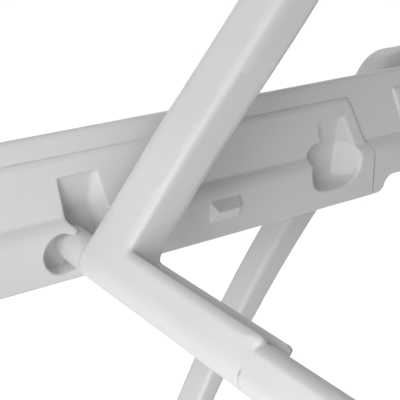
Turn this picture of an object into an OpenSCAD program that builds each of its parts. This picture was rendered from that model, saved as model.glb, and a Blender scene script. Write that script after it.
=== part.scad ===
// Folding sawhorse in moulded resin: two rails, curved folding legs, and an
// upper A-frame whose pins drop into hooked sockets in the rails.
// X runs along the rails, Y along the top beam, Z up from the floor.
// Origin: centre of the footprint, on the floor.

/* [Rails] */
// Clear distance between the two rails' ledge faces
rail_gap = 520; // [460:2:640]
// Length of a rail without its end caps
rail_len = 800; // [760:2:900]
// Height of a rail
rail_h = 77; // [70:1:95]
// Thickness of a rail across its width
rail_t = 30; // [26:1:44]
// Height of the rails' underside above the floor
rail_z = 300; // [280:1:360]
// Wall of the hollow rail
rail_wall = 3; // [2.5:0.1:4]
// Thickness of the lip along the rail's top edge
lip_t = 5; // [4:0.5:8]
// Fall of the rail's top from the lip to its outer face
top_fall = 15; // [13:1:22]
// Rise of the rail's underside over its middle stretch
arch_rise = 10.5; // [6:0.5:16]
// Distance from the seam between two panels to the raised middle stretch
arch_in = 11; // [9:1:20]
// Thickness of a rail's end cap
cap_t = 6; // [4:0.5:12]

/* [Socket panels] */
// How far the ledge stands in front of the rail's flange
ledge_out = 8; // [6:0.5:10]
// How far the flat panel stands in front of the flange
panel_out = 2; // [1.5:0.1:3]
// Height of the ledge
ledge_h = 30; // [28:0.5:32]
// Height of the panel's top edge
panel_h = 64.5; // [62:0.5:68]
// Distance from a rail's end to its outer socket's seat
sock_end = 59.2; // [50:0.1:66]
// Distance between the two sockets of a panel
sock_pitch = 171; // [165:0.5:176]
// Height of a seat above the rail's underside
seat_h = 15.5; // [14.5:0.5:18]
// Radius of the hooked socket's round end
hook_r = 11; // [10:0.1:12]
// Slide of a pin from its seat to the middle of the round end
hook_slide = 10.4; // [8:0.1:13]
// Depth of the outer, hooked sockets behind the ledge face
hook_depth = 13; // [11:0.5:18]
// Depth of the inner sockets behind the ledge face
sock_depth = 20; // [14:0.5:25]
// Distance from an inner socket's seat to the seam between two panels
seam_in = 36.8; // [34:0.2:38]

/* [Upper frames] */
// How far the arms' centre lines pass the centre at the beam's sole
arm_cross = 5; // [2:0.5:10]
// Width of an arm along the beam
arm_w = 32; // [26:1:36]
// Thickness of an arm in its frame's plane
arm_t = 20.8; // [18:0.1:24]
// Gap from the ledge face to the outer frame's arm
arm_gap = 13; // [10:0.5:16]
// Gap between the nested arms of the two frames
nest_gap = 4; // [2:0.5:8]
// Radius of a seat pin
pin_r = 9.4; // [8:0.1:10]
// Radial running clearance of a pin in its seat
pin_clear = 0.06; // [0.02:0.01:0.1]
// Gap between a pin's end and the bottom of its hooked socket
pin_end_gap = 0.5; // [0.3:0.1:2]
// Height of the crossbar's shelf above the pin's axis
bar_flat = 13.5; // [11:0.1:16]
// Height of the crossbar's round middle above the pin's axis
bar_top = 12; // [11:0.1:13]
// Rise of the shelf's far lip above its near edge
lip_rise = 2; // [1:0.1:3]
// Length of the shelf at each end of a crossbar
shelf_len = 103; // [80:1:140]
// Radius of the inner corner between arm and crossbar
corner_r = 6; // [3:0.5:9]

/* [Top beam] */
// Height of the beam's sole above the floor
sole_z = 735; // [700:1:780]
// Length of the beam without its end caps
beam_len = 584; // [560:2:590]
// Width of the beam
beam_w = 60; // [50:1:70]
// Height of the beam
beam_h = 34; // [28:1:50]
// Thickness of the grip pad
pad_t = 4; // [2:0.5:8]
// Thickness of a beam bracket
bracket_t = 4; // [3:0.5:6]
// Gap between the beam's sole and the inner frame
sole_gap = 0.5; // [0.4:0.1:1]

/* [Legs] */
// Distance from the centre to a leg's pivot
pivot_x = 63; // [58:1:72]
// Height of a leg's pivot above the rail's underside
pivot_h = 49; // [45:1:52]
// Thickness of a leg along the beam
leg_t = 22; // [18:1:26]
// Gap from the rail to its leg, filled by a spacer
leg_gap = 4; // [3:0.5:6]
// Distance from the centre to a foot
foot_x = 285; // [270:1:300]
// Height of a foot block
foot_h = 26; // [22:1:32]
// Radius of a foot bar
bar_r = 11; // [9:0.5:13]
// Radius of a leg's pivot bolt
bolt_r = 8; // [6:0.5:9]
// Radial running clearance of a leg on its bolt
bolt_clear = 0.06; // [0.02:0.01:0.1]

/* [Hidden] */
$fn = 48;

ledge_y = rail_gap / 2;
flange_y = ledge_y + ledge_out;
outer_y = flange_y + rail_t;
leg_y = outer_y + leg_gap;
pin_z = rail_z + seat_h;
sock_x = rail_len / 2 - sock_end;
outer_arm_y = ledge_y - arm_gap;
inner_arm_y = outer_arm_y - arm_w - nest_gap;
inner_sock_x = sock_x - sock_pitch;
seam_x = inner_sock_x - seam_in;
arch_half = seam_x - arch_in;
lean = atan((sock_x + arm_cross) / (sole_z - pin_z));
slant_low = seam_x / 4;
slant_top = 0.135 * seam_x;
boss_r = 31;
boss_top = 60;
boss_low = 3;
boss_gap = 0.2;
tie_r = 10;
tie_x = 52;
tie_z = rail_z + arch_rise + rail_wall + tie_r + 1;
hub_r = 27;
hub_half = 8;
hub_z = rail_z + pivot_h;
head_r = 15;
head_t = 7;
top_bar_r = 9.5;
lug = 0.01;

// 2D outlines below are drawn in X and Z and stood up along Y.
module plate(y0, y1) {
  translate([0, y1, 0])
    rotate([90, 0, 0])
      linear_extrude(y1 - y0)
        children();
}

module back() { children(); }
module front() { mirror([0, 1, 0]) children(); }
module right_side() { mirror([1, 0, 0]) children(); }

// ---- rails -------------------------------------------------------------

// Side outline of a rail: a long bar whose underside rises in the middle.
module rail_side(inset, extra) {
  low = rail_z + inset;
  half = rail_len / 2 + extra;
  mid = arch_half - 6 - inset;
  difference() {
    translate([-half, low])
      square([2 * half, rail_h - 2 * inset]);
    hull() {
      for (s = [-1, 1])
        translate([s * mid, low + arch_rise - 6])
          circle(r = 6, $fn = 32);
      translate([-mid - 6, low - 6])
        square([2 * mid + 12, 6]);
    }
  }
}

// Cross-section of a rail: a thin lip in front, a top that falls away behind it.
module rail_section(inset) {
  polygon([
    [inset, inset],
    [rail_t - inset, inset],
    [rail_t - inset, rail_h - top_fall - inset],
    [max(lip_t, inset + 1), rail_h - 1.6 * inset],
    [inset, rail_h - 1.6 * inset]
  ]);
}

module rail_solid(inset, extra) {
  intersection() {
    plate(flange_y, outer_y)
      rail_side(inset, extra);
    translate([-rail_len, flange_y, rail_z])
      rotate([90, 0, 90])
        linear_extrude(2 * rail_len)
          rail_section(inset);
  }
}

// Opening in a rail's inner wall for the back of one socket.
module boss_outline(x, grow) {
  translate([x - boss_r - grow, rail_z + rail_wall + boss_low - grow])
    square([2 * boss_r + 2 * grow, boss_top - boss_low - rail_wall + 2 * grow]);
}

module rail() {
  difference() {
    rail_solid(0, 0);
    rail_solid(rail_wall, 1);
    for (s = [-1, 1]) {
      for (x = [sock_x, inner_sock_x])
        plate(flange_y - 1, flange_y + rail_wall + 1)
          boss_outline(s * x, boss_gap);
      translate([s * pivot_x, flange_y - 1, rail_z + pivot_h])
        rotate([-90, 0, 0])
          cylinder(r = bolt_r, h = rail_t + 2);
    }
  }
}

module rail_cap() {
  r = 4;
  depth = ledge_out + rail_t;
  corners = [
    [r, r],
    [depth - r, r],
    [depth - r, rail_h - top_fall - r],
    [ledge_out + lip_t, rail_h - r],
    [r, rail_h - r]
  ];
  translate([-rail_len / 2 - cap_t, ledge_y, rail_z])
    difference() {
      hull()
        for (c = corners)
          translate([0, c.x, c.y])
            rotate([0, 90, 0])
              cylinder(r = r, h = cap_t, $fn = 32);
      translate([-1, depth / 2 - 6, 18])
        cube([1 + cap_t / 3, 12, 0.4 * rail_h]);
    }
}

// ---- socket panels -----------------------------------------------------

// Panel outline above the ledge, from the rail's end to the slanted edge.
module panel_face() {
  hull() {
    translate([-rail_len / 2, rail_z + ledge_h - 1])
      square([rail_len / 2 - seam_x, 2]);
    translate([-rail_len / 2, rail_z + panel_h - 1])
      square(1);
    translate([-seam_x - 20, rail_z + panel_h - 3])
      circle(r = 3, $fn = 32);
  }
}

// Seat of the outer socket: the pin drops down the neck and slides aside
// under the hook that is left between the neck and the round end.
module hooked_seat() {
  hull() {
    translate([-hook_slide, pin_z])
      circle(r = hook_r);
    translate([0, pin_z])
      circle(r = pin_r + pin_clear, $fn = 96);
  }
  hull() {
    translate([8.5, pin_z + 5])
      circle(r = pin_r + 1.1);
    translate([9.5, rail_z + ledge_h + 2])
      circle(r = pin_r + 1.1);
  }
}

// Inner socket: a plain two-lobed seat.
module lobed_seat() {
  low = rail_z + seat_h + 7;
  hull() {
    translate([-3.5, low])
      circle(r = pin_r + 1.6);
    translate([11.5, low + 0.5])
      circle(r = pin_r + 2);
    translate([13.5, low + 8.5])
      circle(r = pin_r + 2.6);
  }
  translate([-6, low + 10.5])
    circle(r = pin_r + 0.3);
}

// Concave ramp that leads a pin from the panel's face down into the seat.
module scoop() {
  face = flange_y - panel_out;
  top = rail_z + panel_h - 11;
  low = rail_z + ledge_h;
  hull() {
    translate([-7.5, face - 2, top - 1])
      cube([19, 2.3, 1]);
    translate([-8.5, face - 2, low + 12])
      cube([25, 6, 1]);
    translate([-7, face - 2, low])
      cube([26, 10, 2]);
  }
}

module left_socket_panel() {
  half = rail_len / 2;
  difference() {
    union() {
      plate(flange_y - panel_out, flange_y)
        panel_face();
      plate(ledge_y, flange_y)
        translate([-half, rail_z])
          square([half - seam_x, ledge_h]);
      for (x = [sock_x, inner_sock_x])
        plate(flange_y - lug, ledge_y + sock_depth + 3)
          boss_outline(-x, 0);
      translate([-(sock_x + inner_sock_x) / 2 + 5.5, ledge_y, rail_z + ledge_h / 2 + 2])
        nub();
    }
    translate([-sock_x, 0, 0]) {
      plate(ledge_y - 1, ledge_y + hook_depth)
        hooked_seat();
      scoop();
    }
    translate([-inner_sock_x, 0, 0]) {
      plate(ledge_y - 1, ledge_y + sock_depth)
        lobed_seat();
      scoop();
    }
  }
}

// Small roof-shaped stop on the ledge, halfway between the two sockets.
module nub() {
  hull() {
    translate([-10, -0.5, -6])
      cube([20, 1, 12.5]);
    translate([-8, -4.5, 0])
      cube([16, 1, 2]);
  }
}

module centre_panel() {
  difference() {
    union() {
      plate(ledge_y, flange_y)
        translate([-seam_x, rail_z])
          square([2 * seam_x, ledge_h]);
      plate(flange_y - panel_out, flange_y)
        hull() {
          translate([slant_low - seam_x, rail_z + ledge_h - 1])
            square([2 * (seam_x - slant_low), 1]);
          translate([slant_top - seam_x, rail_z + panel_h - 3])
            square([2 * (seam_x - slant_top), 2]);
        }
    }
    plate(ledge_y - 1, flange_y + 1)
      hull() {
        for (s = [-1, 1])
          translate([s * (arch_half - 6), rail_z + arch_rise - 6])
            circle(r = 6, $fn = 32);
        translate([-arch_half, rail_z - 6])
          square([2 * arch_half, 6]);
      }
  }
}

// ---- ties, pivots ------------------------------------------------------

module tie_tube() {
  translate([-tie_x, ledge_y, tie_z])
    rotate([90, 0, 0])
      difference() {
        cylinder(r = tie_r, h = 2 * ledge_y);
        translate([0, 0, -1])
          cylinder(r = tie_r - 2.5, h = 2 * ledge_y + 2);
      }
}

module spacer() {
  translate([-pivot_x, outer_y, rail_z + pivot_h])
    rotate([-90, 0, 0])
      difference() {
        cylinder(r = 17, h = leg_gap - 0.3);
        translate([0, 0, -1])
          cylinder(r = bolt_r, h = leg_gap + 2);
      }
}

module pivot_bolt() {
  len = rail_t - 1 + leg_gap + leg_t + 0.3;
  translate([-pivot_x, flange_y + 1, rail_z + pivot_h])
    rotate([-90, 0, 0]) {
      cylinder(r = bolt_r, h = len + 1);
      translate([0, 0, len])
        cylinder(r1 = head_r, r2 = head_r - 3, h = head_t);
    }
}

// ---- legs --------------------------------------------------------------

// Points of the leg's centre line, from the pivot to the foot.
leg_top = [-pivot_x - 19, rail_z + pivot_h];
leg_mid = [-0.216 * pivot_x - 0.784 * foot_x, 0.7 * rail_z];
leg_end = [-foot_x, foot_h];
leg_steps = 24;
foot_w = 36;
function leg_at(t) = (1 - t) * (1 - t) * leg_top + 2 * t * (1 - t) * leg_mid + t * t * leg_end;
function leg_dir(t) = 2 * (1 - t) * (leg_mid - leg_top) + 2 * t * (leg_end - leg_mid);
function leg_half(t) = 6.2 + 4.3 * exp(-pow(t / 0.5, 2));
function side_at(t, s) =
  let (d = leg_dir(t), n = [d.y, -d.x] / norm(d))
    leg_at(t) + s * leg_half(t) * n;

module leg_outline() {
  polygon([
    for (i = [0:leg_steps]) side_at(i / leg_steps, 1),
    for (i = [leg_steps:-1:0]) side_at(i / leg_steps, -1)
  ]);
  hull()
    for (s = [-1, 1])
      translate([-pivot_x + s * hub_half, hub_z])
        circle(r = hub_r, $fn = 64);
}

module leg() {
  difference() {
    plate(leg_y, leg_y + leg_t)
      leg_outline();
    translate([-pivot_x, leg_y - 1, rail_z + pivot_h])
      rotate([-90, 0, 0])
        cylinder(r = bolt_r + bolt_clear, h = leg_t + 2);
    translate([-foot_x - foot_w, leg_y - 1, -1])
      cube([2 * foot_w, leg_t + 2, foot_h + 1]);
  }
}

module foot() {
  difference() {
    hull()
      for (x = [6 - foot_w / 2, foot_w / 2 - 6], y = [5, leg_t + 2 - 5])
        translate([-foot_x + x, leg_y - 1 + y, 0]) {
          translate([0, 0, 2])
            cylinder(r = 5, h = foot_h - 2, $fn = 32);
          cylinder(r = 3.5, h = foot_h, $fn = 32);
        }
    translate([-foot_x, leg_y - 2, foot_h / 2])
      rotate([-90, 0, 0])
        cylinder(r = bar_r, h = leg_t / 2 + 1);
  }
}

module foot_bar() {
  reach = leg_y - 1 + leg_t / 2;
  translate([-foot_x, reach, foot_h / 2])
    rotate([90, 0, 0])
      difference() {
        cylinder(r = bar_r, h = 2 * reach);
        translate([0, 0, -1])
          cylinder(r = bar_r - 2.5, h = 2 * reach + 2);
      }
}

// ---- upper frames ------------------------------------------------------

// Puts its children on the left pin's axis, leaned over with the frame.
module on_frame() {
  translate([-sock_x, 0, pin_z])
    rotate([0, lean, 0])
      children();
}

// Section of the crossbar: round below, its front face flat, its back rounded.
module bar_section() {
  half = arm_t / 2;
  circle(r = half);
  hull() {
    translate([-half, 0])
      square([2, bar_top - 4]);
    translate([half - 5, bar_top - 7])
      circle(r = 5, $fn = 32);
    translate([1, bar_top - 6])
      circle(r = 6, $fn = 32);
    translate([half - 2, 0])
      square([2, 2]);
  }
}

// A U-frame: two arms and the crossbar between them, lean-frame Z up the arm.
module upper_frame(arm_y, top_z) {
  half = arm_t / 2;
  arm_len = (top_z - pin_z + half) / cos(lean) + 4;
  difference() {
    on_frame() {
      for (s = [0, 1])
        mirror([0, s, 0])
          translate([0, arm_y - arm_w, 0]) {
            hull() {
              rotate([-90, 0, 0])
                cylinder(r = half, h = arm_w);
              for (x = [2 - half, half - 2], y = [2, arm_w - 2])
                translate([x, y, arm_len / 2])
                  cylinder(r = 2, h = arm_len / 2, $fn = 32);
            }
            translate([-half, -corner_r, bar_flat])
              difference() {
                cube([arm_t, corner_r, corner_r]);
                translate([-1, 0, corner_r])
                  rotate([0, 90, 0])
                    cylinder(r = corner_r, h = arm_t + 2, $fn = 32);
              }
          }
      rotate([90, 0, 0])
        linear_extrude(2 * (arm_y - arm_w), center = true)
          bar_section();
      for (s = [0, 1])
        mirror([0, s, 0])
          translate([-half, arm_y - arm_w - shelf_len, 0])
            difference() {
              cube([arm_t, shelf_len, bar_flat + lip_rise]);
              translate([-1, -1, bar_flat])
                cube([arm_t - lip_t + 1, shelf_len + 2, lip_rise + 1]);
              translate([4, -1, bar_flat - 3])
                cube([arm_t - lip_t - 3.5, shelf_len - 7, 4]);
              translate([-1, -1, bar_top - 4])
                cube([6, 4, 8]);
            }
    }
    translate([-beam_w, -arm_y - 1, top_z])
      cube([2 * beam_w, 2 * arm_y + 2, 4 * arm_t]);
  }
}

module seat_pin(arm_y) {
  reach = ledge_y - arm_y + hook_depth - pin_end_gap - 1;
  translate([-sock_x, arm_y, pin_z])
    rotate([-90, 0, 0]) {
      cylinder(r = pin_r, h = reach, $fn = 96);
      translate([0, 0, reach])
        cylinder(r1 = pin_r, r2 = pin_r - 1, h = 1, $fn = 96);
    }
}

module top_bar() {
  reach = inner_arm_y - arm_w;
  translate([0, reach, sole_z - sole_gap - top_bar_r])
    rotate([90, 0, 0])
      cylinder(r = top_bar_r, h = 2 * reach);
}

// ---- beam --------------------------------------------------------------

module beam_profile(w, h, r) {
  hull()
    for (s = [-1, 1], z = [r, h - r])
      translate([s * (w / 2 - r), z])
        circle(r = r, $fn = 32);
}

module beam() {
  plate(-beam_len / 2, beam_len / 2)
    translate([0, sole_z])
      beam_profile(beam_w, beam_h, 5);
}

module beam_cap() {
  plate(beam_len / 2, beam_len / 2 + 6)
    translate([0, sole_z])
      beam_profile(beam_w, beam_h, 5);
}

module pad() {
  pad_half = beam_w / 3;
  pad_end = beam_len / 2 - beam_w / 3;
  translate([0, 0, sole_z + beam_h])
    plate(-pad_end, pad_end)
      hull() {
        translate([-pad_half, 0])
          square([2 * pad_half, 1]);
        translate([pad_t / 2 - pad_half, 0])
          square([2 * pad_half - pad_t, pad_t]);
      }
}

module bracket() {
  translate([-beam_w / 2 + 4, outer_arm_y - arm_w, sole_z - bracket_t])
    cube([beam_w - 8, arm_w, bracket_t]);
}

// ---- nodes -------------------------------------------------------------

module back_rail() { color("whitesmoke") back() rail(); }
module front_rail() { color("whitesmoke") front() rail(); }
module back_left_socket_panel() { color("whitesmoke") left_socket_panel(); }
module back_right_socket_panel() { color("whitesmoke") right_side() left_socket_panel(); }
module back_centre_panel() { color("whitesmoke") centre_panel(); }
module front_left_socket_panel() { color("whitesmoke") front() left_socket_panel(); }
module front_right_socket_panel() {
  color("whitesmoke") front() right_side() left_socket_panel();
}
module front_centre_panel() { color("whitesmoke") front() centre_panel(); }
module back_left_rail_cap() { color("gainsboro") rail_cap(); }
module back_right_rail_cap() { color("gainsboro") right_side() rail_cap(); }
module front_left_rail_cap() { color("gainsboro") front() rail_cap(); }
module front_right_rail_cap() { color("gainsboro") front() right_side() rail_cap(); }
module left_tie_tube() { color("silver") tie_tube(); }
module right_tie_tube() { color("silver") right_side() tie_tube(); }
module back_left_spacer() { color("gray") spacer(); }
module back_right_spacer() { color("gray") right_side() spacer(); }
module front_left_spacer() { color("gray") front() spacer(); }
module front_right_spacer() { color("gray") front() right_side() spacer(); }
module back_left_pivot_bolt() { color("silver") pivot_bolt(); }
module back_right_pivot_bolt() { color("silver") right_side() pivot_bolt(); }
module front_left_pivot_bolt() { color("silver") front() pivot_bolt(); }
module front_right_pivot_bolt() { color("silver") front() right_side() pivot_bolt(); }
module back_left_leg() { color("whitesmoke") leg(); }
module front_left_leg() { color("whitesmoke") front() leg(); }
module left_foot_bar() { color("whitesmoke") foot_bar(); }
module back_left_foot() { color("dimgray") foot(); }
module front_left_foot() { color("dimgray") front() foot(); }
module back_right_leg() { color("whitesmoke") right_side() leg(); }
module front_right_leg() { color("whitesmoke") front() right_side() leg(); }
module right_foot_bar() { color("whitesmoke") right_side() foot_bar(); }
module back_right_foot() { color("dimgray") right_side() foot(); }
module front_right_foot() { color("dimgray") front() right_side() foot(); }
module left_upper_frame() {
  color("whitesmoke") upper_frame(outer_arm_y, sole_z - bracket_t);
}
module back_left_pin() { color("whitesmoke") seat_pin(outer_arm_y); }
module front_left_pin() { color("whitesmoke") front() seat_pin(outer_arm_y); }
module right_upper_frame() {
  color("whitesmoke")
    difference() {
      right_side() upper_frame(inner_arm_y, sole_z - sole_gap);
      top_bar();
    }
}
module back_right_pin() { color("whitesmoke") right_side() seat_pin(inner_arm_y); }
module front_right_pin() { color("whitesmoke") front() right_side() seat_pin(inner_arm_y); }
module right_top_bar() { color("silver") top_bar(); }
module back_beam_bracket() { color("silver") bracket(); }
module front_beam_bracket() { color("silver") front() bracket(); }
module top_beam() { color("whitesmoke") beam(); }
module beam_pad() { color("dimgray") pad(); }
module back_beam_cap() { color("gainsboro") beam_cap(); }
module front_beam_cap() { color("gainsboro") front() beam_cap(); }

back_rail();
front_rail();
back_left_socket_panel();
back_right_socket_panel();
back_centre_panel();
front_left_socket_panel();
front_right_socket_panel();
front_centre_panel();
back_left_rail_cap();
back_right_rail_cap();
front_left_rail_cap();
front_right_rail_cap();
left_tie_tube();
right_tie_tube();
back_left_spacer();
back_right_spacer();
front_left_spacer();
front_right_spacer();
back_left_pivot_bolt();
back_right_pivot_bolt();
front_left_pivot_bolt();
front_right_pivot_bolt();
back_left_leg();
front_left_leg();
left_foot_bar();
back_left_foot();
front_left_foot();
back_right_leg();
front_right_leg();
right_foot_bar();
back_right_foot();
front_right_foot();
left_upper_frame();
back_left_pin();
front_left_pin();
right_upper_frame();
back_right_pin();
front_right_pin();
right_top_bar();
back_beam_bracket();
front_beam_bracket();
top_beam();
beam_pad();
back_beam_cap();
front_beam_cap();
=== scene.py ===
"""Folding sawhorse: the dressed model around the CAD frame.

Shapes are written as distance fields in millimetres, negative inside, and
meshed on a grid. Each field has its own axes, and a place function turns them
to the frame's. Every piece stands in for one CAD node and rides on its body.
Pieces that come in twos or fours are one field, mirrored across the middle.
"""
import math

import bpy
import numpy as np
import openvdb
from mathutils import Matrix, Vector


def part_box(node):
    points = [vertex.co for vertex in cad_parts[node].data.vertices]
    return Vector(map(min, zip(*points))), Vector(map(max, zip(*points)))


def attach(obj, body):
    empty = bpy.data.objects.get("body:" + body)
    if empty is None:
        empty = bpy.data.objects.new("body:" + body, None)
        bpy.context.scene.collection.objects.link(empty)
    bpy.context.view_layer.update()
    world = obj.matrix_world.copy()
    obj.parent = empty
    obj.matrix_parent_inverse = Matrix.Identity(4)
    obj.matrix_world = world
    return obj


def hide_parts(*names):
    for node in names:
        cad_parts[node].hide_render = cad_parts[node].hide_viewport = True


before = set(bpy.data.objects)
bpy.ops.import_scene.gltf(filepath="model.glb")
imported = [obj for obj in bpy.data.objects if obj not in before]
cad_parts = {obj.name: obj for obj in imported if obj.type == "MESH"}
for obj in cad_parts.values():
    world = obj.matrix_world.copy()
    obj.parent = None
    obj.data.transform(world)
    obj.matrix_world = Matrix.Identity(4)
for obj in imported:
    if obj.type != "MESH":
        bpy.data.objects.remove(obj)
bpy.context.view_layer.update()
MM = 0.001

# ---- measures from the frame, in millimetres ----------------------------


def box_mm(node):
    """The two corners of a CAD node's box."""
    lo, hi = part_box(node)
    return np.array(lo) / MM, np.array(hi) / MM


RAIL_LO, RAIL_HI = box_mm("back_rail")
PANEL_HI = box_mm("back_left_socket_panel")[1]
PIN_LO, PIN_HI = box_mm("back_left_pin")
OUTER_HI = box_mm("left_upper_frame")[1]
INNER_HI = box_mm("right_upper_frame")[1]
LEG_LO, LEG_HI = box_mm("back_left_leg")
CAP_LO, CAP_HI = box_mm("back_left_rail_cap")
FOOT_LO, FOOT_HI = box_mm("back_left_foot")
BOLT_LO, BOLT_HI = box_mm("back_left_pivot_bolt")
BEAM_LO, BEAM_HI = box_mm("top_beam")
PAD_LO, PAD_HI = box_mm("beam_pad")

RAIL_Z = RAIL_LO[2]
RAIL_H = RAIL_HI[2] - RAIL_Z
RAIL_HALF = RAIL_HI[0]
LEDGE_Y = RAIL_LO[1] - 8  # face of the panels' ledge, 8 proud of the rail's own face
SOCK_X = -(PIN_LO[0] + PIN_HI[0]) / 2  # outer sockets, from the middle
PITCH = 171  # from an outer socket to the inner one beside it
PIN_Z = (PIN_LO[2] + PIN_HI[2]) / 2
SEAM_X = -PANEL_HI[0]  # seam between socket panel and centre panel, from the middle
LEAN = math.radians(39.5)  # of the upper frames, from upright

LEDGE_TOP = 29.6  # heights on the rail's face
PLATE_TOP = 63.4
PLATE_FACE = 6  # depths behind the ledge's face
PANEL_BACK = 8.2
RAIL_BACK = 38
ARCH_HALF = 122
ARCH_TOP = 10.5
SCREW_R = 3.6

SIDES = ((1, "back"), (-1, "front"))
ENDS = ((1, "left"), (-1, "right"))
CORNERS = [(sx, sy, front, way) for sy, front in SIDES for sx, way in ENDS]


# ---- distance fields ----------------------------------------------------


def join(a, b, k=0.0):
    """Union, with a fillet about 0.6 k in radius where the two meet."""
    if np.isscalar(k) and k == 0:
        return np.minimum(a, b)
    h = np.maximum(k - np.abs(a - b), 0) / k
    return np.minimum(a, b) - h * h * k / 4


def common(a, b, k=0.0):
    """Intersection, its edge rounded in the same way."""
    return -join(-a, -b, k)


def cut(a, b, k=0.0):
    """What is in a and not in b."""
    return common(a, -b, k)


def meet(a, b, r):
    """Intersection of two fields drawn in by r, swelled again to a round edge."""
    outside = np.hypot(np.maximum(a, 0), np.maximum(b, 0))
    return outside + np.minimum(np.maximum(a, b), 0) - r


def box2(u, v, centre, half, r=0.0):
    """Outline of a rectangle, its corners rounded by r."""
    qu = np.abs(u - centre[0]) - half[0] + r
    qv = np.abs(v - centre[1]) - half[1] + r
    return meet(qu, qv, r)


def slab(flat, t, t0, t1, r=0.0):
    """A flat outline stood up from t0 to t1, its rims rounded by r."""
    return meet(flat + r, np.abs(t - (t0 + t1) / 2) - (t1 - t0) / 2 + r, r)


def disc(u, v, centre, r):
    """Outline of a circle."""
    return np.hypot(u - centre[0], v - centre[1]) - r


def strip(u, v, a, b, ra, rb):
    """Outline round two discs and the straight tangents between them."""
    long = math.hypot(b[0] - a[0], b[1] - a[1])
    du, dv = (b[0] - a[0]) / long, (b[1] - a[1]) / long
    along = (u - a[0]) * du + (v - a[1]) * dv
    off = np.abs((u - a[0]) * dv - (v - a[1]) * du)
    sine = (ra - rb) / long
    cosine = math.sqrt(1 - sine * sine)
    k = along * cosine - off * sine
    first = np.hypot(off, along) - ra
    last = np.hypot(off, along - long) - rb
    middle = off * cosine + along * sine - ra
    return np.where(k < 0, first, np.where(k > cosine * long, last, middle))


def side(u, v, a, b):
    """Distance to the right of the line that runs from a to b."""
    du, dv = b[0] - a[0], b[1] - a[1]
    return ((u - a[0]) * dv - (v - a[1]) * du) / math.hypot(du, dv)


def bump(x, centre, width):
    """A smooth hump of height 1."""
    return np.exp(-(((x - centre) / width) ** 2))


def mesh_from(name, field, lo, hi, step, place, adaptivity=0.04):
    """Mesh of a field inside the box lo..hi; place turns its points to the frame's mm."""
    band = 3 * step
    axes = [np.arange(lo[i] - 2 * step, hi[i] + band, step) for i in range(3)]
    grid = np.meshgrid(*axes, indexing="ij", sparse=True)
    values = np.clip(field(*grid), -band, band).astype(np.float32)
    full_grid = np.zeros([len(a) for a in axes], np.float32)  # for fields that skip an axis
    volume = openvdb.FloatGrid(band)
    volume.copyFromArray(values + full_grid)
    points, triangles, quads = volume.convertToPolygons(isovalue=0.0, adaptivity=adaptivity)
    local = points.astype(float) * step + np.array([a[0] for a in axes])
    local = settle(field, local, step)
    normals = gradient(field, local, 0.25 * step)
    where, mirrored = place(local)
    faces = [tuple(f) for f in triangles.tolist() + quads.tolist()]
    if mirrored:
        faces = [f[::-1] for f in faces]
    mesh = bpy.data.meshes.new(name)
    mesh.from_pydata((where * MM).tolist(), [], faces)
    mesh.validate()
    mesh.update()
    turned = place(local + normals)[0] - where
    mesh.shade_smooth()
    mesh.normals_split_custom_set_from_vertices(turned.tolist())
    ob = bpy.data.objects.new(name, mesh)
    bpy.context.scene.collection.objects.link(ob)
    return ob


def gradient(field, p, e):
    """Unit normals of a field at points p, from steps of e to each side."""
    g = np.empty_like(p)
    for i in range(3):
        d = np.zeros(3)
        d[i] = e
        g[:, i] = field(*(p + d).T) - field(*(p - d).T)
    return g / np.maximum(np.linalg.norm(g, axis=1, keepdims=True), 1e-9)


def settle(field, p, step):
    """Draws meshed points onto the surface itself."""
    for _ in range(2):
        off = np.clip(field(*p.T), -0.5 * step, 0.5 * step)
        p = p - gradient(field, p, 0.2 * step) * off[:, None]
    return p


def at(x=0.0, y=0.0, z=0.0, sx=1, sy=1):
    """Moves local points by x, y, z, then mirrors them across the middle planes."""

    def place(p):
        q = p + np.array([x, y, z])
        return q * np.array([sx, sy, 1]), sx * sy < 0

    return place


# ---- materials ----------------------------------------------------------


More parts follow.
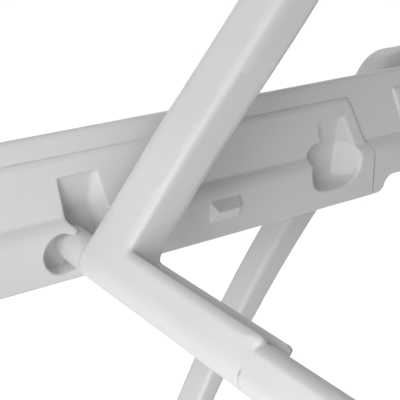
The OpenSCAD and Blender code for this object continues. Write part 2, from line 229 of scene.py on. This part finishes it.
class Shader:
    """A small helper that adds and wires nodes of one material."""

    def __init__(self, name, colour, rough, metal=0.0):
        self.mat = bpy.data.materials.new(name)
        self.mat.use_nodes = True
        self.tree = self.mat.node_tree
        self.out = self.tree.nodes["Principled BSDF"]
        self.out.inputs["Base Color"].default_value = (*colour, 1)
        self.out.inputs["Roughness"].default_value = rough
        self.out.inputs["Metallic"].default_value = metal
        self.where = self.add("ShaderNodeTexCoord").outputs["Object"]

    def add(self, kind, **inputs):
        """A new node, its inputs named with _ for each space."""
        node = self.tree.nodes.new(kind)
        for key, value in inputs.items():
            self.wire(value, node.inputs[key.replace("_", " ")])
        return node

    def wire(self, value, socket):
        """Links a socket to another, or sets its value."""
        if isinstance(value, bpy.types.NodeSocket):
            self.tree.links.new(value, socket)
        else:
            socket.default_value = value

    def noise(self, scale, detail=3.0, stretch=(1, 1, 1)):
        """Cloudy noise, drawn out along an axis where stretch is below 1."""
        shift = self.add("ShaderNodeMapping", Vector=self.where, Scale=stretch)
        node = self.add("ShaderNodeTexNoise", Vector=shift.outputs[0], Scale=scale, Detail=detail)
        return node.outputs["Fac"]

    def spots(self, scale, radius):
        """Soft round spots, one per cell: 1 in a spot and 0 elsewhere."""
        node = self.add("ShaderNodeTexVoronoi", Vector=self.where, Scale=scale)
        return self.span(node.outputs["Distance"], (radius, 0.4 * radius), (0.0, 1.0))

    def span(self, value, source, target):
        """Maps one range to another, smoothly where the first one falls."""
        node = self.add("ShaderNodeMapRange")
        node.interpolation_type = "SMOOTHSTEP" if source[0] > source[1] else "LINEAR"
        self.wire(value, node.inputs["Value"])
        for key, number in zip(("From Min", "From Max", "To Min", "To Max"), source + target):
            node.inputs[key].default_value = number
        return node.outputs[0]

    def shade(self, factor, first, second):
        """Blends from the first colour to the second."""
        node = self.add("ShaderNodeMix")
        node.data_type = "RGBA"
        self.wire(factor, node.inputs["Factor"])
        self.wire(first, node.inputs["A"])
        self.wire(second, node.inputs["B"])
        return next(o for o in node.outputs if o.type == "RGBA")

    def bumps(self, *layers):
        """Stacks bumps, given as height, strength and depth in metres."""
        normal = None
        for height, strength, depth in layers:
            node = self.add("ShaderNodeBump", Height=height, Strength=strength, Distance=depth)
            if normal:
                self.wire(normal, node.inputs["Normal"])
            normal = node.outputs[0]
        self.wire(normal, self.out.inputs["Normal"])


def tint(colour, factor):
    """The colour made darker or lighter."""
    return (*(min(c * factor, 1.0) for c in colour), 1)


def resin(name, colour, rough=0.4, grain=1.0):
    """Moulded plastic: fine spark-eroded grain, faint flow clouds, specks and handling marks."""
    m = Shader(name, colour, rough)
    clouds = m.noise(9.0, 4.0, (1, 1, 1.6))
    pepper = m.spots(420.0, 0.11)
    base = m.shade(m.span(clouds, (0.3, 0.7), (0.0, 1.0)), tint(colour, 0.965), tint(colour, 1.02))
    faint = m.span(pepper, (0.0, 1.0), (0.0, 0.35))
    m.wire(m.shade(faint, base, tint(colour, 0.72)), m.out.inputs["Base Color"])
    scuff = m.noise(60.0, 5.0, (1, 1, 5))
    m.wire(m.span(scuff, (0.3, 0.75), (rough - 0.05, rough + 0.12)), m.out.inputs["Roughness"])
    fine = m.noise(1500.0, 2.0)
    wave = m.noise(22.0, 1.0)
    m.bumps((wave, 0.35, 0.0012), (fine, 0.22 * grain, 0.00012))
    return m.mat


def steel(name, colour, rough=0.3):
    """Zinc-plated steel: drawn streaks, blotches of the plating and small dents."""
    m = Shader(name, colour, rough, 1.0)
    blotch = m.noise(70.0, 4.0)
    m.wire(m.shade(blotch, tint(colour, 0.82), tint(colour, 1.1)), m.out.inputs["Base Color"])
    streak = m.noise(260.0, 4.0, (1, 0.06, 1))
    m.wire(m.span(streak, (0.3, 0.7), (rough - 0.08, rough + 0.16)), m.out.inputs["Roughness"])
    m.bumps((streak, 0.25, 0.0001), (m.noise(120.0), 0.1, 0.0003))
    return m.mat


def rubber(name, colour, rough=0.75):
    """Matt rubber: pitted skin, a dusty bloom and a few paler scuffs."""
    m = Shader(name, colour, rough)
    dust = m.span(m.noise(35.0, 5.0), (0.45, 0.75), (0.0, 0.6))
    m.wire(m.shade(dust, tint(colour, 0.9), tint(colour, 1.7)), m.out.inputs["Base Color"])
    pits = m.spots(900.0, 0.35)
    m.bumps((m.noise(700.0, 3.0), 0.4, 0.00025), (pits, 0.3, 0.0002))
    m.wire(m.span(dust, (0.0, 0.6), (rough, 0.95)), m.out.inputs["Roughness"])
    return m.mat


WHITE = resin("resin_white", (0.77, 0.77, 0.775), 0.38)
SHELL = resin("resin_cap", (0.66, 0.66, 0.67), 0.46, 1.6)
TUBE = resin("tube_enamel", (0.77, 0.77, 0.775), 0.28, 0.5)
STEEL = steel("zinc_steel", (0.62, 0.63, 0.65))
RUBBER = rubber("foot_rubber", (0.055, 0.055, 0.058))

# CAD nodes that stay as they are, by the end of the name.
KEPT = {
    "tie_tube": TUBE,
    "foot_bar": TUBE,
    "spacer": SHELL,
    "pin": WHITE,
    "top_bar": TUBE,
    "bracket": STEEL,
}
for name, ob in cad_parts.items():
    ob.data.materials.clear()
    kept = [m for end, m in KEPT.items() if name.endswith(end)]
    ob.data.materials.append(kept[0] if kept else WHITE)


def dress(ob, material, slot, body, *nodes):
    """Gives a piece its material and its place among the bodies and nodes."""
    ob.data.materials.append(material)
    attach(ob, body)
    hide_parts(*nodes)


# ---- socket panels ------------------------------------------------------

CHUTE_TOP = 54


def chute(q, t, h, wall, turn, edge, spread):
    """The sloping hollow that leads a pin down: left wall, back ramp, right facet.

    The left wall stands at q = wall where h is 50, and leans by turn. The facet
    starts at q = edge and moves out by spread for each mm below the top.
    """
    fall, inset = CHUTE_TOP - h, t - PLATE_FACE
    ramp = common((t - PANEL_BACK - fall * 0.44) * 0.92, h - CHUTE_TOP, 0.8)
    left = wall + turn * (50 - h) + 0.12 * inset - q
    right = (q - edge - fall * spread + inset * 0.5) * 0.85
    return common(common(ramp, left, 1.5), right, 1.3)


def plain_socket(q, t, h):
    """The hollow of an inner socket: bowl, chute, and a lobe with a small tooth."""
    low = 11.5 + 0.03 * q - h
    rim = side(q, h, (23.4, 12), (26.6, 34))
    outline = common(common(-14.2 - q, low, 13), rim, 17)
    slope = chute(q, t, h, wall=-6.1, turn=0.2, edge=13.4, spread=0.5)
    slope = common(slope, common(outline, t - 16.5, 4), 2)
    bowl = slab(common(outline, h - 36, 12), t, -20, 16.5, 5)
    hollow = common(join(bowl, slope, 2.5), (rim + 0.5 * t) * 0.9, 1.5)
    lobe = slab(disc(q, h, (-6.6, 32.2), 8.0), t, -20, 14.0, 5)
    hollow = join(hollow, lobe, 2)
    tooth = strip(q, h, (-19.5, 28.6), (-14.0, 28.2), 2.6, 1.2)
    return cut(hollow, common(tooth, t - 5), 0.6)


def hooked_socket(q, t, h):
    """The hollow of an outer socket: hole for the pin, chute, and a hooked tongue."""
    hole = strip(q, h, (-10.4, 15.5), (0, 15.5), 11, 9.5)
    slope = chute(q, t, h, wall=-8.2, turn=0.15, edge=13.0, spread=0.3)
    slope = common(slope, common(12 - h, t - 19.5), 1.5)
    hollow = join(slab(hole, t, -20, 13.0, 1.6), slope, 1.5)
    tongue = strip(q, h, (-11.5, 32.0), (-3.7, 26.2), 3.4, 2.1)
    return cut(hollow, common(tongue, t - 11), 0.8)


def boss(q, h, grow):
    """Outline of the block behind one socket, inside the rail."""
    low = box2(q, h, (2.2, 21), (26.6 + grow, 19.3 + grow))
    return join(low, box2(q, h, (4, 40), (17 + grow, 17 + grow)))


def ledge_front(t, h, face):
    """The low front of a panel, its face at depth face and its top sloped."""
    front = common(face - t, (h - LEDGE_TOP - 0.62 * t) / 1.18, 4.5)
    return common(front, t - PANEL_BACK)


def plate_front(t, h, slant):
    """The set-back upper front of a panel, ended by the field slant."""
    front = common(PLATE_FACE - t, (h - PLATE_TOP - 1.1 * (t - PLATE_FACE)) / 1.49, 1.5)
    front = common(front, slant, 3)
    return common(common(front, t - PANEL_BACK), 20 - h)


END_S = SOCK_X - SEAM_X
RIM_S = RAIL_HALF - SOCK_X
NUB_S = 91


def socket_panel(s, t, h):
    """Field of one panel; s from the outer socket, t behind the ledge face, h up."""
    ledge = common(ledge_front(t, h, 0), -h, 1.2)
    plate = plate_front(t, h, -side(s, h, (190.9, 61), (204.8, 35.5)))
    body = join(ledge, plate, 1.0)
    for q0 in (0, PITCH):
        body = join(body, common(boss(s - q0, h, 0), common(6.6 - t, t - 22.5)))
    body = common(body, common(s - END_S, -RIM_S - s))
    nub = common((h - 23.7 - t) / 1.42, (-6 * t - 4.5 * (h - 11.0)) / 7.5, 0.8)
    nub = common(nub, (4.5 * (np.abs(s - NUB_S) - 10.2) - 2 * t) / 4.92, 0.8)
    nub = common(nub, t - 4)
    body = join(body, nub, 0.5)
    body = cut(body, hooked_socket(s, t, h), 1.4)
    return cut(body, plain_socket(s - PITCH, t, h), 1.5)


def make_socket_panels():
    """The four panels, meshed without thinning so that the rims stay round."""
    for sx, sy, front, way in CORNERS:
        ob = mesh_from(
            f"{front}_{way}_sockets",
            socket_panel,
            lo=(-RIM_S, -4.6, 0),
            hi=(END_S, 23, 65),
            step=0.9,
            place=at(-SOCK_X, LEDGE_Y, RAIL_Z, sx, sy),
            adaptivity=0.0,
        )
        dress(ob, WHITE, "resin", "base", f"{front}_{way}_socket_panel")


def arch(half, h):
    """What the arched underside takes away; half is the distance from the middle."""
    opening = box2(half, h, (0, -40), (ARCH_HALF, 40 + ARCH_TOP), 6)
    return join(opening, h, 9)


def centre_panel(x, t, h):
    """Field of a centre panel; x from the middle, its face a hair behind the others."""
    half = np.abs(x)
    slant = -side(-half, h, (-SEAM_X + 33.5, 31), (-SEAM_X + 17.5, 65))
    body = join(ledge_front(t, h, 0.2), plate_front(t, h, slant), 1.0)
    body = common(body, half - SEAM_X)
    return cut(body, arch(half, h), 1.2)


def make_centre_panels():
    """The panel between the socket panels, one to each rail."""
    for sy, front in SIDES:
        ob = mesh_from(
            f"{front}_middle_skin",
            centre_panel,
            lo=(-SEAM_X, -1, 0),
            hi=(SEAM_X, 9, 65),
            step=0.9,
            place=at(0, LEDGE_Y, RAIL_Z, 1, sy),
        )
        dress(ob, WHITE, "resin", "base", f"{front}_centre_panel")


# ---- rails --------------------------------------------------------------


def rail_top(t, h):
    """The rail's top, which slopes away behind its front edge."""
    return (h - RAIL_H + (t - 13) * 0.6) / 1.166


def rail_bar(x, t, h):
    """Field of a rail; t behind the ledge face."""
    face = 8.06 + 0.09 * np.maximum(h - 64, 0)
    body = common(face - t, h - RAIL_H, 2.6)
    body = common(body, rail_top(t, h), 2)
    body = common(body, t - RAIL_BACK, 5)
    body = cut(body, arch(np.abs(x), h), 3)
    body = common(body, np.abs(x) - RAIL_HALF)
    for s in (SOCK_X, SOCK_X - PITCH):
        body = cut(body, common(boss(s - np.abs(x), h, 0.3), t - 24))
    return body


def make_rails():
    """The two rails."""
    for sy, front in SIDES:
        ob = mesh_from(
            f"{front}_rail_body",
            rail_bar,
            lo=(-RAIL_HALF, 8, 0),
            hi=(RAIL_HALF, RAIL_BACK, RAIL_H),
            step=1.3,
            place=at(0, LEDGE_Y, RAIL_Z, 1, sy),
        )
        dress(ob, WHITE, "resin", "base", f"{front}_rail")


# ---- upper frames -------------------------------------------------------

ARM_WIDE = 32
BAR_SHELF = 13.5  # height of the crossbar's flat shelf beside each arm
SHELF_LEN = 102


def upper_frame(arm_y, top):
    """Field of a U-frame that is cut off level at height top."""
    arm_in = arm_y - ARM_WIDE

    def field(a, b, c):
        """The axes: a across the frame, b along the bar, c up the arm."""
        b = np.abs(b)
        middle = 0.5 - 1.5 * bump(c, 72, 42) + 0.5 * bump(c, 165, 50)
        half = 10.1 + 1.0 * bump(c, 165, 55)
        low = np.minimum(c, 0)
        width = np.hypot(a - middle, low) - half
        outline = join(arm_in - b, c - BAR_SHELF, 3 + 8 * np.clip((a + 10) / 20, 0, 1))
        outline = common(outline, b - arm_y, 2)
        end = arm_in - SHELF_LEN
        shelf = common(outline, end - b, 3)
        body = common(shelf, width, 2.4 + 1.6 * np.clip(c / 40, 0, 1))
        lip = common(box2(a, c, (8.6, 10), (2.0, 5.6), 0.9), b - arm_in - 2)
        lip = common(lip, end - 2 - b, 5)
        body = join(body, lip, 1)
        groove = box2(a, c, (1.2, 20), (5.4, 10.5), 1.2)
        groove = common(groove, b - arm_in + 8, 3)
        body = cut(body, common(groove, end - 30 - b), 1.6)
        tube = join(disc(a, c, (-0.4, 1.2), 11), disc(a, c, (0, 0), 10.1), 1)
        tube = common(tube, -9.7 - a, 0.8)
        body = join(body, common(tube, b - end - 1.5, 1), 0.6)
        height = c * math.cos(LEAN) - a * math.sin(LEAN) + PIN_Z
        return common(body, height - top, 0.8)

    return field


def lean_place(sx):
    """Stands a frame on its socket, leaning towards the middle."""
    ca, sa = math.cos(LEAN), math.sin(LEAN)

    def place(p):
        a, b, c = p.T
        x = -SOCK_X + a * ca + c * sa
        z = PIN_Z - a * sa + c * ca
        return np.stack([x * sx, b, z], axis=1), sx < 0

    return place


def make_upper_frames():
    """The outer frame on the left and the inner one on the right."""
    for (sx, way), (_, arm_y, top) in zip(ENDS, (OUTER_HI, INNER_HI)):
        reach = (top - PIN_Z + 12) / math.cos(LEAN) + 4
        ob = mesh_from(
            f"{way}_frame_body",
            upper_frame(arm_y, top),
            lo=(-13, -arm_y, -12),
            hi=(14, arm_y, reach),
            step=1.1,
            place=lean_place(sx),
        )
        dress(ob, WHITE, "resin", f"{way}_top_frame", f"{way}_upper_frame")


# ---- legs ---------------------------------------------------------------

PIVOT = (-63, RAIL_Z + 49)
HUB_R = 27
LEG_THICK = 22
LEG_TOP = (PIVOT[0] - 19, PIVOT[1])
LEG_MID = (PIVOT[0] - 174, RAIL_Z - 90)
LEG_END = (-285, 26)
LEG_STEPS = 20
FAR = 1e3


def leg_line(f):
    """Point of the leg's curved middle line at f, from 0 at the hub to 1 at the foot."""
    k = ((1 - f) ** 2, 2 * f * (1 - f), f * f)
    return tuple(sum(w * p[i] for w, p in zip(k, (LEG_TOP, LEG_MID, LEG_END))) for i in (0, 1))


def leg_half(f):
    """Half the leg's width at f."""
    return 6.2 + 4.3 * math.exp(-((f / 0.5) ** 2))


def leg(x, t, z):
    """Field of a leg; t from its inner face."""
    flat = np.full(np.broadcast_shapes(x.shape, z.shape), FAR)
    for i in range(LEG_STEPS):
        f0, f1 = i / LEG_STEPS, (i + 1) / LEG_STEPS
        flat = join(flat, strip(x, z, leg_line(f0), leg_line(f1), leg_half(f0), leg_half(f1)))
    hub = strip(x, z, (PIVOT[0] - 8, PIVOT[1]), (PIVOT[0] + 8, PIVOT[1]), HUB_R, HUB_R)
    stem = slab(flat, t, 0, LEG_THICK, 3.4)
    knob = slab(hub, t, 0, LEG_THICK, 7)
    body = join(stem, knob, 8)
    body = common(body, common(-t, t - LEG_THICK))
    return common(body, LEG_END[1] + 0.2 - z)


def make_legs():
    """The four curved legs."""
    for sx, sy, front, way in CORNERS:
        ob = mesh_from(
            f"{front}_{way}_leg_body",
            leg,
            lo=(LEG_LO[0], 0, LEG_END[1]),
            hi=(LEG_HI[0], LEG_THICK, LEG_HI[2]),
            step=1.2,
            place=at(0, LEG_LO[1], 0, sx, sy),
        )
        dress(ob, WHITE, "resin", f"{way}_leg_frame", f"{front}_{way}_leg")


# ---- caps, feet, bolts --------------------------------------------------

CAP_THICK = CAP_HI[0] - CAP_LO[0]
CAP_DEPTH = CAP_HI[1] - CAP_LO[1]


def rail_cap(x, t, h):
    """Field of a rail's end cap; x outward from the rail's end, t behind the ledge face."""
    mid = CAP_DEPTH / 2
    flat = box2(t, h, (mid, RAIL_H / 2), (mid, RAIL_H / 2), 4)
    flat = common(flat, rail_top(t, h), 3)
    flat = common(flat, -side(t, h, (5.5, 66), (9, 78)), 2)
    body = slab(flat, x, -CAP_THICK, CAP_THICK, 2.2)
    body = common(body, -x)
    dish = slab(flat + 6, x, CAP_THICK - 1.4, CAP_THICK + 10)
    body = cut(body, dish, 1.2)
    grip = box2(t, h, (mid, 32), (6, 14), 5.5)
    body = cut(body, common(grip, CAP_THICK / 2 - x), 1)
    for low in (13, 53):
        screw = disc(t, h, (mid, low), SCREW_R)
        body = join(body, slab(screw, x, 0, CAP_THICK - 0.5, 0.8))
        lying = box2(t, h, (mid, low), (2.2, 0.45))
        standing = box2(t, h, (mid, low), (0.45, 2.2))
        body = cut(body, common(join(lying, standing), CAP_THICK - 2 - x))
    return body


def cap_place(sx, sy):
    """Sets a cap on the end of a rail, facing outward."""

    def place(p):
        q = p * np.array([-1, 1, 1]) + np.array([-RAIL_HALF, LEDGE_Y, RAIL_Z])
        return q * np.array([sx, sy, 1]), sx * sy > 0

    return place


def make_rail_caps():
    """The caps on both ends of the rails."""
    for sx, sy, front, way in CORNERS:
        ob = mesh_from(
            f"{front}_{way}_end_cap",
            rail_cap,
            lo=(0, 0, 0),
            hi=(CAP_THICK, CAP_DEPTH, RAIL_H),
            step=0.9,
            place=cap_place(sx, sy),
        )
        dress(ob, SHELL, "cap_plastic", "base", f"{front}_{way}_rail_cap")


FOOT_MID = (FOOT_LO + FOOT_HI) / 2
FOOT_HALF = (FOOT_HI - FOOT_LO) / 2
FOOT_H = 2 * FOOT_HALF[2]


def foot(x, t, z):
    """Field of a rubber foot; t along the bar, ribbed on its walls."""
    taper = 1.5 * np.clip(z / FOOT_H, 0, 1)
    flat = box2(x, t, (0, 0), (FOOT_HALF[0] - 0.2, FOOT_HALF[1] - 0.1), 5) + taper
    body = common(flat, z - FOOT_H, 4)
    body = common(body, -z, 1.5)
    for low in (7, 12.5, 18):
        ring = np.hypot(flat, z - low) - 1.1
        body = cut(body, ring, 0.8)
    tread = np.abs(np.mod(t + 3, 6) - 3) - 0.9
    return cut(body, common(tread, z - 1.4), 0.4)


def make_feet():
    """The rubber feet under the foot bars."""
    for sx, sy, front, way in CORNERS:
        ob = mesh_from(
            f"{front}_{way}_rubber_foot",
            foot,
            lo=(-FOOT_HALF[0], -FOOT_HALF[1], 0),
            hi=(FOOT_HALF[0], FOOT_HALF[1], FOOT_H),
            step=0.8,
            place=at(FOOT_MID[0], FOOT_MID[1], 0, sx, sy),
        )
        dress(ob, RUBBER, "rubber", f"{way}_leg_frame", f"{front}_{way}_foot")


BOLT_MID = (BOLT_LO + BOLT_HI) / 2
BOLT_LEN = BOLT_HI[1] - BOLT_LO[1]
BOLT_HEAD = BOLT_LEN - 7
SHANK_R = 7.9
WASHER_R = 15
HEAD_R = 12.6
DOME_R = 21.9
HEX_HALF = 4.2


def pivot_bolt(x, y, z):
    """Field of a pivot bolt along y, its domed head outermost, with a hex socket."""
    r = np.hypot(x, z)
    body = common(r - SHANK_R, np.abs(y - BOLT_HEAD / 2) - BOLT_HEAD / 2 - 0.5)
    washer = slab(r - WASHER_R, y, BOLT_HEAD, BOLT_HEAD + 2, 0.5)
    ball = np.hypot(r, y - (BOLT_LEN - 22)) - DOME_R
    dome = common(ball, common(r - HEAD_R, BOLT_HEAD + 1 - y), 1)
    body = join(join(body, washer), dome, 0.4)
    turns = [k * math.pi / 3 for k in range(3)]
    flats = [np.abs(x * math.cos(turn) + z * math.sin(turn)) for turn in turns]
    hexagon = np.maximum(np.maximum(flats[0], flats[1]), flats[2]) - HEX_HALF
    return cut(body, common(hexagon, BOLT_LEN - 4.5 - y), 0.4)


def make_bolts():
    """The pivot bolts of the legs."""
    for sx, sy, front, way in CORNERS:
        ob = mesh_from(
            f"{front}_{way}_bolt",
            pivot_bolt,
            lo=(-WASHER_R, 0, -WASHER_R),
            hi=(WASHER_R, BOLT_LEN, WASHER_R),
            step=0.7,
            place=at(BOLT_MID[0], BOLT_LO[1], BOLT_MID[2], sx, sy),
        )
        dress(ob, STEEL, "steel", "base", f"{front}_{way}_pivot_bolt")


# ---- beam ---------------------------------------------------------------

BEAM_W = BEAM_HI[0] - BEAM_LO[0]
BEAM_H = BEAM_HI[2] - BEAM_LO[2]
BEAM_END = BEAM_HI[1]
PAD_HALF = (PAD_HI[0] - PAD_LO[0]) / 2
PAD_H = PAD_HI[2] - PAD_LO[2]
PAD_END = PAD_HI[1]
PAD_PITCH = 8
BEAM_CAP = 6


def beam_outline(x, z):
    """The beam's cross-section."""
    return box2(x, z, (0, BEAM_H / 2), (BEAM_W / 2, BEAM_H / 2), 5)


def top_beam(x, y, z):
    """Field of the beam: rounded, with two flutes along each side."""
    flat = beam_outline(x, z)
    for high in (BEAM_H * 0.36, BEAM_H * 0.64):
        flute = np.hypot(np.abs(x) - BEAM_W / 2 - 1.2, z - high) - 3
        flat = cut(flat, flute, 1.5)
    return common(flat, np.abs(y) - BEAM_END)


def beam_pad(x, y, z):
    """Field of the grip pad, grooved across at every PAD_PITCH and along both edges."""
    half = PAD_PITCH / 2
    flat = common(np.abs(x) - PAD_HALF, z - PAD_H, 3)
    body = common(common(flat, -z), np.abs(y) - PAD_END, 3)
    groove = np.hypot(np.mod(y + half, PAD_PITCH) - half, z - PAD_H - 0.4) - 1.6
    body = cut(body, common(groove, np.abs(x) - PAD_HALF + 4, 1.5), 0.6)
    edge = np.hypot(np.abs(x) - PAD_HALF + 4, z - PAD_H - 0.2) - 1.2
    return cut(body, common(edge, np.abs(y) - PAD_END + 6), 0.4)


def beam_cap(x, t, z):
    """Field of a beam's end cap; t outward from the beam's end."""
    flat = beam_outline(x, z)
    body = common(slab(flat, t, -BEAM_CAP, BEAM_CAP, 2.4), -t)
    body = cut(body, slab(flat + 5, t, 4.7, 10), 1)
    for s in (-1, 1):
        middle = s * BEAM_W * 0.27
        screw = disc(x, z, (middle, BEAM_H / 2), SCREW_R)
        body = join(body, slab(screw, t, 0, 5.5, 0.8))
        slot = common(screw + 1.6, np.abs(x - middle) - 0.5)
        body = cut(body, common(slot, 4.4 - t))
    return body


def make_beam():
    """The top beam with its grip pad and the cap on each end."""
    ob = mesh_from(
        "beam_body",
        top_beam,
        lo=(-BEAM_W / 2, -BEAM_END, 0),
        hi=(BEAM_W / 2, BEAM_END, BEAM_H),
        step=1.3,
        place=at(0, 0, BEAM_LO[2]),
    )
    dress(ob, WHITE, "resin", "left_top_frame", "top_beam")
    ob = mesh_from(
        "ribbed_pad",
        beam_pad,
        lo=(PAD_LO[0], PAD_LO[1], 0),
        hi=(PAD_HI[0], PAD_END, PAD_H),
        step=0.9,
        place=at(0, 0, PAD_LO[2]),
    )
    dress(ob, RUBBER, "rubber", "left_top_frame", "beam_pad")
    for sy, front in SIDES:
        ob = mesh_from(
            f"{front}_beam_end",
            beam_cap,
            lo=(-BEAM_W / 2, 0, 0),
            hi=(BEAM_W / 2, BEAM_CAP, BEAM_H),
            step=0.8,
            place=at(0, BEAM_END, BEAM_LO[2], 1, sy),
        )
        dress(ob, SHELL, "cap_plastic", "left_top_frame", f"{front}_beam_cap")


make_socket_panels()
make_centre_panels()
make_rails()
make_upper_frames()
make_legs()
make_rail_caps()
make_feet()
make_bolts()
make_beam()

# ---- camera, light, floor ----------------------------------------------

# The camera was solved from the photograph: place in metres, angles in degrees.
CAM_PLACE = (-0.55313, -0.14841, 0.52073)
CAM_DOWN = 21.289
CAM_TURN = -35.02
CAM_LENS = 87.46
CAM_SENSOR = 36.0
CAM_NEAREST = 0.01

AIM = Vector((-0.25, 0.22, 0.36))
AMBIENT = 0.12
FLOOR_GLOW = 0.84
FLOOR_HALF = 4.0
FLOOR_Z = -0.0006


def make_camera():
    """The photograph's own view."""
    cam = bpy.data.cameras.new("camera")
    cam.lens = CAM_LENS
    cam.sensor_width = CAM_SENSOR
    cam.clip_start = CAM_NEAREST
    ob = bpy.data.objects.new("camera", cam)
    bpy.context.scene.collection.objects.link(ob)
    ob.location = CAM_PLACE
    ob.rotation_euler = (math.radians(90 - CAM_DOWN), 0, math.radians(CAM_TURN))
    bpy.context.scene.camera = ob


def lamp(name, turn, rise, far, size, power):
    """A soft square lamp, placed round AIM by azimuth and elevation in degrees."""
    light = bpy.data.lights.new(name, "AREA")
    light.energy = power
    light.size = size
    ob = bpy.data.objects.new(name, light)
    bpy.context.scene.collection.objects.link(ob)
    a, e = math.radians(turn), math.radians(rise)
    way = Vector((math.cos(e) * math.cos(a), math.cos(e) * math.sin(a), math.sin(e)))
    ob.location = AIM + far * way
    ob.rotation_euler = (-way).to_track_quat("-Z", "Y").to_euler()


def white_where_seen(tree):
    """1 for rays that show the backdrop itself, straight, mirrored or through glass."""
    path = tree.nodes.new("ShaderNodeLightPath")
    seen = path.outputs["Is Camera Ray"]
    for kind in ("Is Glossy Ray", "Is Transmission Ray"):
        top = tree.nodes.new("ShaderNodeMath")
        top.operation = "MAXIMUM"
        tree.links.new(seen, top.inputs[0])
        tree.links.new(path.outputs[kind], top.inputs[1])
        seen = top.outputs[0]
    return seen


def make_world():
    """White where it is seen, and a faint even light on the object."""
    world = bpy.data.worlds.new("world")
    bpy.context.scene.world = world
    world.use_nodes = True
    tree = world.node_tree
    glow = tree.nodes["Background"]
    glow.inputs["Color"].default_value = (1, 1, 1, 1)
    level = tree.nodes.new("ShaderNodeMapRange")
    level.inputs["To Min"].default_value = AMBIENT
    level.inputs["To Max"].default_value = 1.0
    tree.links.new(white_where_seen(tree), level.inputs["Value"])
    tree.links.new(level.outputs[0], glow.inputs["Strength"])


def make_floor():
    """A pale floor that shows white where it is lit and keeps the soft shadow."""
    mesh = bpy.data.meshes.new("floor")
    quarters = ((-1, -1), (1, -1), (1, 1), (-1, 1))
    corners = [(FLOOR_HALF * a, FLOOR_HALF * b, FLOOR_Z) for a, b in quarters]
    mesh.from_pydata(corners, [], [(0, 1, 2, 3)])
    ob = bpy.data.objects.new("floor", mesh)
    bpy.context.scene.collection.objects.link(ob)
    mat = bpy.data.materials.new("floor_paper")
    mat.use_nodes = True
    tree = mat.node_tree
    out = tree.nodes["Principled BSDF"]
    out.inputs["Base Color"].default_value = (0.75, 0.75, 0.75, 1)
    out.inputs["Roughness"].default_value = 0.9
    out.inputs["Emission Color"].default_value = (1, 1, 1, 1)
    glow = tree.nodes.new("ShaderNodeMath")
    glow.operation = "MULTIPLY"
    glow.inputs[1].default_value = FLOOR_GLOW
    tree.links.new(white_where_seen(tree), glow.inputs[0])
    tree.links.new(glow.outputs[0], out.inputs["Emission Strength"])
    mesh.materials.append(mat)


make_camera()
lamp("key", turn=210, rise=25, far=1.6, size=0.9, power=11.8)
lamp("near", turn=225, rise=-8, far=0.8, size=0.45, power=2.0)
lamp("far", turn=45, rise=45, far=1.8, size=1.0, power=4.0)
lamp("rear", turn=150, rise=30, far=1.8, size=1.0, power=5.0)
make_world()
make_floor()
bpy.context.scene.view_settings.view_transform = "Standard"
